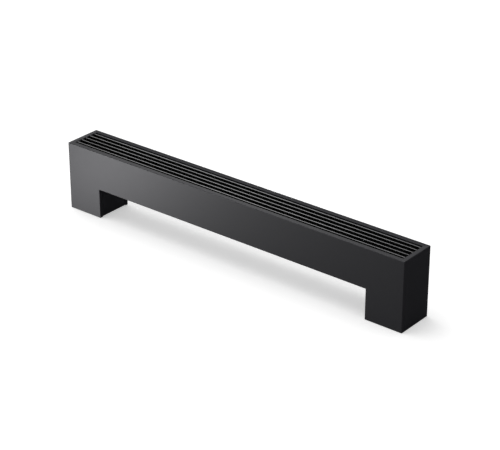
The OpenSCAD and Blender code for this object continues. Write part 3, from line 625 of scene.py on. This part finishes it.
def casing_skin(rear):
    """The outer skin of the shell or of the rear panel, with its lip and its returns."""
    shift = 0.0 if rear else SEAM
    lip_y = OPEN_Y - shift
    shape = bmesh.new()
    block(shape, (-HALF_L, -HALF_D, FLOOR_GAP), (HALF_L, HALF_D, TOP))
    floor_face = [f for f in shape.faces if f.calc_center_median().z < FLOOR_GAP + TINY]
    bmesh.ops.delete(shape, geom=floor_face, context="FACES_ONLY")
    round_edges(shape, [e for e in shape.edges if len(e.link_faces) == 2], BEND, 4)
    for side in (-1, 1):
        cut_plane(shape, (side * OPEN_X, 0, 0), (1, 0, 0))
        cut_plane(shape, (side * LEG_IN, 0, 0), (1, 0, 0))
        cut_plane(shape, (0, side * OPEN_Y, 0), (0, 1, 0))
        cut_plane(shape, (side * OPEN_X, lip_y, 0), (side, -1, 0))
    cut_plane(shape, (0, lip_y, 0), (0, 1, 0))
    cut_plane(shape, (0, 0, LEG_H), (0, 0, 1))

    def unwanted(face):
        c = face.calc_center_median()
        in_opening = c.z > TOP - TINY and abs(c.x) < OPEN_X and (-OPEN_Y < c.y < OPEN_Y)
        in_notch = abs(c.x) < LEG_IN and c.z < LEG_H
        return in_opening or in_notch or behind(c, shift) != rear

    bmesh.ops.delete(shape, geom=[f for f in shape.faces if unwanted(f)], context="FACES")
    bmesh.ops.dissolve_limit(shape, angle_limit=math.radians(1), verts=shape.verts, edges=shape.edges)

    def on_opening(edge):
        a, b = (v.co for v in edge.verts)
        flat = a.z > TOP - TINY and b.z > TOP - TINY
        inner = all(abs(p.x) < OPEN_X + TINY and abs(p.y) < OPEN_Y + TINY for p in (a, b))
        along_seam = not rear and a.y > lip_y - TINY and b.y > lip_y - TINY
        return edge.is_boundary and flat and inner and not along_seam

    def on_notch(edge):
        a, b = (v.co for v in edge.verts)
        return edge.is_boundary and all(abs(p.x) < LEG_IN + TINY and p.z < LEG_H + TINY for p in (a, b))

    way = 1 if rear else -1
    folds = []
    for wanted, step in ((on_opening, (0, 0, -LIP)), (on_notch, (0, -way * RETURN, 0))):
        edges = [e for e in shape.edges if wanted(e)]
        grown = bmesh.ops.extrude_edge_only(shape, edges=edges)["geom"]
        bmesh.ops.translate(shape, vec=step, verts=[v for v in grown if isinstance(v, bmesh.types.BMVert)])
        folds += edges
    bmesh.ops.recalc_face_normals(shape, faces=shape.faces)
    if sum(f.normal.y * f.calc_area() for f in shape.faces) * way < 0:
        bmesh.ops.reverse_faces(shape, faces=shape.faces)
    round_edges(shape, [e for e in folds if e.is_valid and len(e.link_faces) == 2], BEND - TINY, 4)
    return shape


def give_thickness(piece, thickness):
    """Turns a skin into a sheet, whose thickness lies behind the skin."""
    wall = piece.modifiers.new("sheet", "SOLIDIFY")
    wall.thickness = thickness * MM
    wall.offset = -1
    wall.use_even_offset = True


def settle(piece):
    """Puts what the modifiers make into the mesh."""
    graph = bpy.context.evaluated_depsgraph_get()
    mesh = bpy.data.meshes.new_from_object(piece.evaluated_get(graph), depsgraph=graph)
    piece.modifiers.clear()
    piece.data = mesh


def folded_casing():
    """The casing shell, with the flanges at its two ends that the rear panel is screwed to."""
    shape = casing_skin(rear=False)
    y = HALF_D - SHEET - SEAM
    for side in (-1, 1):
        corners = [(side * x, y, z) for x, z in ((FLANGE_X, FLANGE_Z[0]), (HALF_L - SHEET / 2, FLANGE_Z[0]),
                                                 (HALF_L - SHEET / 2, FLANGE_Z[1]), (FLANGE_X, FLANGE_Z[1]))]
        face = shape.faces.new([shape.verts.new(c) for c in corners])
        face.normal_update()
        if face.normal.y < 0:
            face.normal_flip()
    piece = finish_piece("folded_casing", shape, coat, "casing", ["casing_shell"], sharp=30)
    give_thickness(piece, SHEET)
    weigh_normals(piece)


def rear_screw_places():
    """The screws of the rear panel, whose heads face the rear."""
    places = [(side * REAR_SCREW_X, z) for side in (-1, 1) for z in REAR_SCREW_Z]
    places += [(x, MEMBER_SCREW_Z) for x in MEMBER_SCREW_X]
    return [moved(x, HALF_D, z) @ Matrix.Rotation(QUARTER, 4, "X") for x, z in places]


def rear_cover():
    """The rear panel, with a countersunk hole round each screw."""
    skin = casing_skin(rear=True)
    piece = finish_piece("rear_cover", skin, coat, "casing", ["rear_panel"], sharp=30)
    give_thickness(piece, SHEET)
    settle(piece)
    gap, slope, depth, through = 0.06, 1.2, SHEET - 0.15, 4.0
    holes = bmesh.new()
    hole_r = SCREW_HEAD_R + gap - slope * depth
    cone = turned([(0, -1), (SCREW_HEAD_R + gap + slope, -1), (hole_r, depth), (hole_r, through),
                   (0, through)], 24, closed=False)
    add_copies(holes, cone, rear_screw_places())
    bmesh.ops.scale(holes, vec=(MM, MM, MM), verts=holes.verts)
    cutter = fresh("countersinks")
    holes.to_mesh(cutter.data)
    holes.free()
    cut = piece.modifiers.new("countersinks", "BOOLEAN")
    cut.operation = "DIFFERENCE"
    cut.solver = "EXACT"
    cut.object = cutter
    settle(piece)
    bpy.data.objects.remove(cutter)
    piece.data.shade_smooth()
    piece.data.set_sharp_from_angle(angle=math.radians(30))
    weigh_normals(piece)


def rear_screws():
    """Countersunk screws with a hexagon socket."""
    shank_r = SCREW_R - 0.05
    part = turned([(0, SOCKET_DEPTH), (SOCKET_R, SOCKET_DEPTH), (SOCKET_R + 0.1, 0.12),
                   (SOCKET_R + 0.35, 0.02), (SCREW_HEAD_R - 0.25, 0.02), (SCREW_HEAD_R - 0.05, 0.1),
                   (shank_r, SHEET), (shank_r, SCREW_L - 0.4), (shank_r - 0.45, SCREW_L), (0, SCREW_L)],
                  24, closed=False)
    for vert in part.verts:
        if TINY < vert.co.xy.length < SOCKET_R + 0.15:
            widen = 1 / math.cos(turn_from_flat(vert))
            vert.co.x *= widen
            vert.co.y *= widen
    shape = bmesh.new()
    add_copies(shape, part, rear_screw_places())
    finish_piece("rear_socket_screws", shape, bright_zinc, "casing", ["rear_panel_screws"])


folded_casing()
rear_cover()
rear_screws()


# Grille

def grille_slats():
    """The long bars, rounded along their upper edges and less so along their other ones."""
    part = bmesh.new()
    block(part, (-BAR_HALF, -BAR_T / 2, BAR_Z[0]), (BAR_HALF, BAR_T / 2, BAR_Z[1]))

    def is_long(edge, height):
        a, b = (v.co for v in edge.verts)
        return abs(a.x - b.x) > BAR_HALF and abs(a.z - height) < TINY

    round_edges(part, [e for e in part.edges if is_long(e, BAR_Z[1])], BAR_TOP_RADIUS, 4)
    round_edges(part, [e for e in part.edges if is_long(e, BAR_Z[0])], BAR_FOOT_RADIUS, 2)
    ends = [f for f in part.faces if abs(f.normal.x) > 0.9]
    rims = {e for f in ends for e in f.edges}
    round_edges(part, list(rims), BAR_END_CHAMFER, 1)
    shape = bmesh.new()
    add_copies(shape, part, [moved(y=y) for y in BAR_Y])
    piece = finish_piece("grille_slats", shape, bar_finish, "grille", ["grille_bars"], sharp=50)
    weigh_normals(piece)


grille_slats()


# Exchanger

def rippled_fin():
    """One fin: a thin rippled plate with a flared collar round each tube."""
    part = bmesh.new()
    made = bmesh.ops.create_grid(part, x_segments=1, y_segments=FIN_FOLDS, size=0.5)["verts"]
    depth, height = 2 * FIN_Y, FIN_Z[1] - FIN_Z[0]
    bmesh.ops.scale(part, vec=(height, depth, 1), verts=made)
    bmesh.ops.rotate(part, cent=(0, 0, 0), matrix=Matrix.Rotation(QUARTER, 3, "Y"), verts=made)
    bmesh.ops.translate(part, vec=(0, 0, sum(FIN_Z) / 2), verts=made)
    rows = sorted({round(v.co.y, 3) for v in made})
    ripple = [v for v in made if rows.index(round(v.co.y, 3)) % 2]
    bmesh.ops.translate(part, vec=(FIN_RIPPLE, 0, 0), verts=ripple)
    bmesh.ops.solidify(part, geom=part.faces[:], thickness=FIN_T)
    foot, neck, end = 0.2, 1.2, 2 * FIN_HALF / (FIN_COUNT - 1) - COLLAR_GAP
    collar = turned([(TUBE_R + 1.9, foot), (TUBE_R + 0.75, neck), (TUBE_R + 0.45, end),
                     (TUBE_R + 0.05, end), (TUBE_R + 0.05, foot)], 14)
    turn = Matrix.Rotation(QUARTER, 4, "Y")
    add_copies(part, collar, [moved(0, y, z) @ turn for y in TUBE_Y for z in TUBE_Z])
    return part


def fin_stack():
    """The row of fins, which ends in a flat one without collars."""
    start = END_FIN_T / 2 - FIN_HALF
    step = -2 * start / (FIN_COUNT - 1)
    shape = bmesh.new()
    add_copies(shape, rippled_fin(), [moved(start + i * step) for i in range(FIN_COUNT - 1)])
    last = bmesh.new()
    verts = block(last, (FIN_HALF - END_FIN_T, -FIN_Y, FIN_Z[0]), (FIN_HALF, FIN_Y, FIN_Z[1]))
    round_edges(last, list({e for v in verts for e in v.link_edges}), 0.12, 1)
    add_copies(shape, last, [moved()])
    finish_piece("rippled_fin_stack", shape, fin_metal, "stand", ["fin_pack"], sharp=20)


def return_bend_pipes():
    """The soldered U bends: bent tubes, each with a wider socket at both ends."""
    shape = bmesh.new()
    for z in TUBE_Z:
        part = bmesh.new()
        ring = bmesh.ops.create_circle(part, segments=24, radius=TUBE_R)["verts"]
        bmesh.ops.rotate(part, cent=(0, 0, 0), matrix=Matrix.Rotation(QUARTER, 3, "Y"), verts=ring)
        bmesh.ops.translate(part, vec=(BEND_X, TUBE_Y[1], z), verts=ring)
        bmesh.ops.spin(part, geom=part.verts[:] + part.edges[:], cent=(BEND_X, 0, z), axis=(0, 0, 1),
                       angle=math.pi, steps=28)
        for length, wider in BEND_SOCKET:
            edges = [e for e in part.edges if e.is_boundary]
            grown = bmesh.ops.extrude_edge_only(part, edges=edges)["geom"]
            for vert in [v for v in grown if isinstance(v, bmesh.types.BMVert)]:
                y = math.copysign(TUBE_Y[1], vert.co.y)
                across = Vector((0, vert.co.y - y, vert.co.z - z)).normalized() * (TUBE_R + wider)
                vert.co = (vert.co.x + length, y + across.y, z + across.z)
        bmesh.ops.recalc_face_normals(part, faces=part.faces)
        add_copies(shape, part, [moved()])
    piece = finish_piece("soldered_u_bends", shape, copper, "stand", ["return_bends"], sharp=50)
    give_thickness(piece, BEND_WALL)


def solder_rings():
    """The bright fillet where each tube enters a socket."""
    part = turned([(TUBE_R + 0.02, 0), (TUBE_R + 0.85, -0.1), (TUBE_R + 0.6, 0.55), (TUBE_R + 0.3, 0.9),
                   (TUBE_R + 0.02, 1.3)], 24)
    turn = Matrix.Rotation(QUARTER, 4, "Y")
    shape = bmesh.new()
    add_copies(shape, part, [moved(BEND_END, y, z) @ turn for y in TUBE_Y for z in TUBE_Z])
    finish_piece("solder_fillets", shape, bright_zinc, "stand")


fin_stack()
return_bend_pipes()
solder_rings()


# Valve and connections

def hand_wheel_cap():
    """The fluted hand wheel, hollow below and dished above."""
    (z0, z1), r, bore_r, steps = WHEEL_Z, WHEEL_R, WHEEL_BORE_R, 128
    dish_r, dish_z, flute_angle = 13.0, z1 - 3, 2 * math.pi / FLUTES
    part = turned([(bore_r, z0 + 0.3), (bore_r + 0.3, z0), (r - 0.6, z0), (r - 0.15, z0 + 0.2), (r, z0 + 0.7),
                   (r, z1 - 1.5), (r - 0.35, z1 - 0.5), (r - 1.4, z1), (dish_r + 0.6, z1),
                   (dish_r + 0.15, z1 - 0.15), (dish_r, z1 - 0.6), (dish_r - 0.2, dish_z + 0.4),
                   (dish_r - 0.8, dish_z), (4, dish_z), (0, dish_z - 0.2)], steps, closed=False)
    for vert in part.verts:
        reach = vert.co.xy.length
        turn = math.atan2(vert.co.y, vert.co.x) % flute_angle
        turn = min(turn, flute_angle - turn)
        inside = FLUTE_R ** 2 - (FLUTE_AT * math.sin(turn)) ** 2
        if inside > 0 and reach > r - 2:
            limit = FLUTE_AT * math.cos(turn) - math.sqrt(inside)
            if reach > limit:
                vert.co.x *= limit / reach
                vert.co.y *= limit / reach
    under = turned([(bore_r, z0 + 0.3), (bore_r, WHEEL_BORE_Z - 0.4), (bore_r - 0.4, WHEEL_BORE_Z),
                    (0, WHEEL_BORE_Z)], steps, closed=False)
    bmesh.ops.reverse_faces(under, faces=under.faces)
    shape = bmesh.new()
    place = moved(HEADER_X, TUBE_Y[0], 0)
    add_copies(shape, part, [place])
    add_copies(shape, under, [place])
    bmesh.ops.remove_doubles(shape, verts=shape.verts, dist=2 * WELD)
    bmesh.ops.recalc_face_normals(shape, faces=shape.faces)
    piece = finish_piece("fluted_hand_wheel", shape, white_plastic, "wheel", ["hand_wheel"], sharp=40)
    weigh_normals(piece)


def dial_numbers():
    """Raised numbers 0 to 5 round the top of the hand wheel."""
    shape = bmesh.new()
    for number in range(6):
        words = bpy.data.curves.new("dial number", "FONT")
        words.body = str(number)
        words.size = NUMBER_SIZE
        words.align_x = "CENTER"
        words.align_y = "CENTER"
        words.extrude = 0.2
        words.bevel_depth = 0.05
        writer = bpy.data.objects.new("dial number", words)
        scene.collection.objects.link(writer)
        graph = bpy.context.evaluated_depsgraph_get()
        mesh = bpy.data.meshes.new_from_object(writer.evaluated_get(graph), depsgraph=graph)
        turn = Matrix.Rotation(math.radians(NUMBER_TURN * number - 90), 4, "Z")
        mesh.transform(moved(HEADER_X, TUBE_Y[0], WHEEL_Z[1] + 0.05) @ turn @ moved(0, NUMBER_AT, 0))
        shape.from_mesh(mesh)
        bpy.data.objects.remove(writer)
        bpy.data.curves.remove(words)
        bpy.data.meshes.remove(mesh)
    finish_piece("dial_numbers", shape, print_grey, "wheel", sharp=30)


def connection_nuts():
    """The union nuts, the compression nuts and the gland nuts of the two pipe connections."""
    unions, compressions, glands = bmesh.new(), bmesh.new(), bmesh.new()
    add_copies(unions, hexagon_nut(*UNION_NUT), [moved(HEADER_X, y, UNION_Z) for y in TUBE_Y])
    add_copies(compressions, hexagon_nut(*PIPE_NUT), [moved(HEADER_X, y, PIPE_NUT_Z) for y in TUBE_Y])
    turn = Matrix.Rotation(QUARTER, 4, "Y")
    add_copies(glands, hexagon_nut(*GLAND_NUT), [moved(GLAND_X, y, GLAND_Z) @ turn for y in TUBE_Y])
    finish_piece("chamfered_union_nuts", unions, turned_brass, "stand", ["union_nuts"])
    finish_piece("chamfered_pipe_nuts", compressions, turned_brass, "stand", ["compression_nuts"])
    finish_piece("chamfered_gland_nuts", glands, turned_brass, "stand", ["gland_nuts"])


hand_wheel_cap()
dial_numbers()
connection_nuts()


# Feet

def ridges(r, low, high, pitch, depth):
    """The outline of a screw thread, as a chain of crests and roots."""
    points, z = [], low
    while z + pitch <= high + TINY:
        points += [(r - depth, z), (r, z + pitch * 0.45), (r, z + pitch * 0.55)]
        z += pitch
    return points + [(r - depth, z)]


def foot(side, end):
    """A levelling foot: its threaded stud, its ribbed sole and its swivel nut."""
    x = FOOT_X if side == "right" else -FOOT_X
    y = -FOOT_Y if end == "front" else FOOT_Y
    name = f"{side}_{end}"
    stud = turned([(0, 2), (12.4, 2), (12.9, 2.3), (13, 2.6), (13, 4.2), (12.6, 4.8), (7, 5), (5.6, 5.2)]
                  + ridges(5, 5.6, 31.4, THREAD_PITCH, 0.6) + [(3.6, 32.4), (0, 32.4)], 32, closed=False)
    sole = turned([(0, 0.5), (8, 0.5), (8.6, 0), (9.6, 0), (10.2, 0.5), (11.2, 0.5), (11.8, 0), (13.4, 0),
                   (13.9, 0.3), (14, 0.8), (14, 1.5), (13.6, 2), (0, 2)], 40, closed=False)
    nut = hexagon_nut(*FOOT_NUT)
    nut_h, bore = FOOT_NUT[1:]
    collar = turned([(bore, nut_h), (8, nut_h), (8, 11.2), (9.2, 11.2), (9.5, 11.6), (9.3, 12.2), (8.7, 12.4),
                     (bore + 0.5, 12.4), (bore, 12)], 32)
    for part, words, node, material, slot in ((stud, "threaded_stud", "stud", bright_zinc, "zinc"),
                                              (sole, "ribbed_sole", "sole", rubber, "rubber")):
        shape = bmesh.new()
        add_copies(shape, part, [moved(x, y, 0)])
        finish_piece(f"{name}_{words}", shape, material, f"{name}_foot", [f"{name}_{node}"])
    shape = bmesh.new()
    add_copies(shape, nut, [moved(x, y, FOOT_NUT_Z)])
    add_copies(shape, collar, [moved(x, y, FOOT_NUT_Z)])
    finish_piece(f"{name}_swivel_nut", shape, bright_zinc, f"{name}_foot_nut", [f"{name}_nut"])


for side in ("left", "right"):
    for end in ("front", "rear"):
        foot(side, end)


# The nodes that keep their CAD shape

finishes = {
    black_paint_and_shade: ["cross_members", "end_ledges", "grille_tie_rods", "grille_spacers"],
    coat: ["left_leg_panel", "right_leg_panel"],
    sheet_zinc: ["exchanger_end_plates", "left_console", "right_console", "bush_retainers"],
    bright_zinc: ["valve_seat", "valve_spindle", "supply_plug", "return_plug", "retainer_screws",
                  "panel_nuts"],
    copper: ["water_tubes"],
    cast_brass: ["supply_header", "return_header", "isolating_valves"],
    turned_brass: ["valve_bonnet", "air_vent_body", "air_vent_screw", "drain_plug", "compression_olives"],
    rubber: ["grille_pads", "union_gaskets", "tube_bushes", "casing_caps"],
}
for material, names in finishes.items():
    for name in names:
        slots = frame["nodes"][name].data.materials
        slots.clear()
        slots.append(material)


# Studio

FLOOR_HALF, FLOOR_GLOW = 30.0, 0.42
AMBIENT = 0.45
HORIZON, SKY_IN_REFLECTIONS = (-0.05, 0.35), (0.01, 0.2)
# The camera of the photograph, but for its shifted lens
LENS, CAMERA_PLACE = 127.0, (3.041, -3.702, 2.521)
CAMERA_DOWN, CAMERA_TURN = math.radians(26.67), math.radians(38.99)
MIDDLE, FLOOR_MIDDLE = (0, 0, 0.12), (0, 0, 0)


def floor_finish():
    """Pale floor that shows plain white to the camera and keeps the object's shadow."""
    material = bpy.data.materials.new("pale_studio_floor")
    material.use_nodes = True
    tree = material.node_tree
    surface = tree.nodes["Principled BSDF"]
    surface.inputs["Base Color"].default_value = (0.88, 0.88, 0.88, 1)
    surface.inputs["Roughness"].default_value = 0.9
    surface.inputs["Specular IOR Level"].default_value = 0.0
    surface.inputs["Emission Color"].default_value = (1, 1, 1, 1)
    seen = tree.nodes.new("ShaderNodeLightPath")
    glow = maths(tree, "MULTIPLY", seen.outputs["Is Camera Ray"], FLOOR_GLOW)
    wire(tree, glow, surface.inputs["Emission Strength"])
    return material


def studio_floor():
    """The wide floor, which rides on no body."""
    shape = bmesh.new()
    bmesh.ops.create_grid(shape, x_segments=1, y_segments=1, size=FLOOR_HALF)
    floor = fresh("studio_floor")
    shape.to_mesh(floor.data)
    shape.free()
    floor.data.materials.append(floor_finish())
    floor.visible_glossy = False
    floor.visible_shadow = False  # so that lamps below it can stand for its bright patches


def studio_world():
    """White to the camera, a soft even light on the object, and dark below the horizon in reflections."""
    world = bpy.data.worlds.new("studio")
    scene.world = world
    world.use_nodes = True
    tree = world.node_tree
    for node in list(tree.nodes):
        tree.nodes.remove(node)
    out = tree.nodes.new("ShaderNodeOutputWorld")
    seen = tree.nodes.new("ShaderNodeLightPath")
    ways = tree.nodes.new("ShaderNodeTexCoord")
    parts = tree.nodes.new("ShaderNodeSeparateXYZ")
    wire(tree, ways.outputs["Generated"], parts.inputs[0])
    height = spread(tree, parts.outputs["Z"], *HORIZON, *SKY_IN_REFLECTIONS)
    mirrored = maths(tree, "MAXIMUM", seen.outputs["Is Glossy Ray"], seen.outputs["Is Transmission Ray"])
    light = mix_colour(tree, mirrored, (AMBIENT, AMBIENT, AMBIENT), height)
    light = mix_colour(tree, seen.outputs["Is Camera Ray"], light, (1, 1, 1))
    shade = tree.nodes.new("ShaderNodeBackground")
    wire(tree, light, shade.inputs["Color"])
    wire(tree, shade.outputs[0], out.inputs["Surface"])


def pieces_of(name, *finishes):
    """A collection of the pieces in some finishes, for the lamps that light them alone."""
    found = bpy.data.collections.new(name)
    for piece in scene.objects:
        if piece.type == "MESH" and piece.data.materials and piece.data.materials[0] in finishes:
            found.objects.link(piece)
    return found


def lamp(name, kind, energy, location, target, size, sheen_on=None):
    """A soft light, or one that only draws a sheen on a collection of pieces."""
    light = bpy.data.lights.new(name, kind)
    light.energy = energy
    if kind == "SUN":
        light.angle = math.radians(size)
    else:
        light.shape = "DISK"
        light.size = size
    made = bpy.data.objects.new(name, light)
    scene.collection.objects.link(made)
    made.location = location
    made.rotation_euler = (Vector(target) - Vector(location)).to_track_quat("-Z", "Y").to_euler()
    made.visible_camera = False
    if sheen_on:
        made.visible_diffuse = False
        made.light_linking.receiver_collection = sheen_on


def photo_camera():
    """The camera that sees the object as the photograph shows it."""
    lens = bpy.data.cameras.new("photo_camera")
    lens.lens = LENS
    lens.sensor_width = 36.0
    lens.clip_start, lens.clip_end = 0.05, 100
    camera = bpy.data.objects.new("photo_camera", lens)
    scene.collection.objects.link(camera)
    camera.location = CAMERA_PLACE
    camera.rotation_euler = (QUARTER - CAMERA_DOWN, 0, CAMERA_TURN)
    scene.camera = camera


metals = (sheet_zinc, bright_zinc, fin_metal, copper, cast_brass, turned_brass)
coated_sheets = pieces_of("coated_sheets", coat)
bare_metals = pieces_of("bare_metals", *metals)
lit_tops = pieces_of("lit_tops", bar_finish, *metals)
lit_tops.objects.link(bpy.data.objects["folded_casing"])
studio_floor()
studio_world()
lamp("soft_key", "SUN", 1.4, (-1.2, -0.1, 2.6), FLOOR_MIDDLE, 50)
lamp("near_left_glow", "AREA", 6.8, (-0.96, -0.72, -0.07), (-0.42, 0, 0.08), 0.3, coated_sheets)
lamp("far_front_glow", "AREA", 33, (-2.1, -3.2, 0.0), MIDDLE, 0.5, coated_sheets)
lamp("rear_glow", "AREA", 16, (-0.6, 1.2, 0.1), MIDDLE, 0.24, coated_sheets)
lamp("top_glow", "AREA", 11, (-1.7, 2.1, 1.55), (0, 0, 0.2), 1.5, lit_tops)
lamp("overhead_metal_glow", "AREA", 90, (0, 0, 2.6), FLOOR_MIDDLE, 3.0, bare_metals)
lamp("front_metal_glow", "AREA", 30, (-1.8, -2.25, 0.6), MIDDLE, 1.5, bare_metals)
lamp("rear_metal_glow", "AREA", 30, (1.8, 2.25, 0.6), MIDDLE, 1.5, bare_metals)
photo_camera()
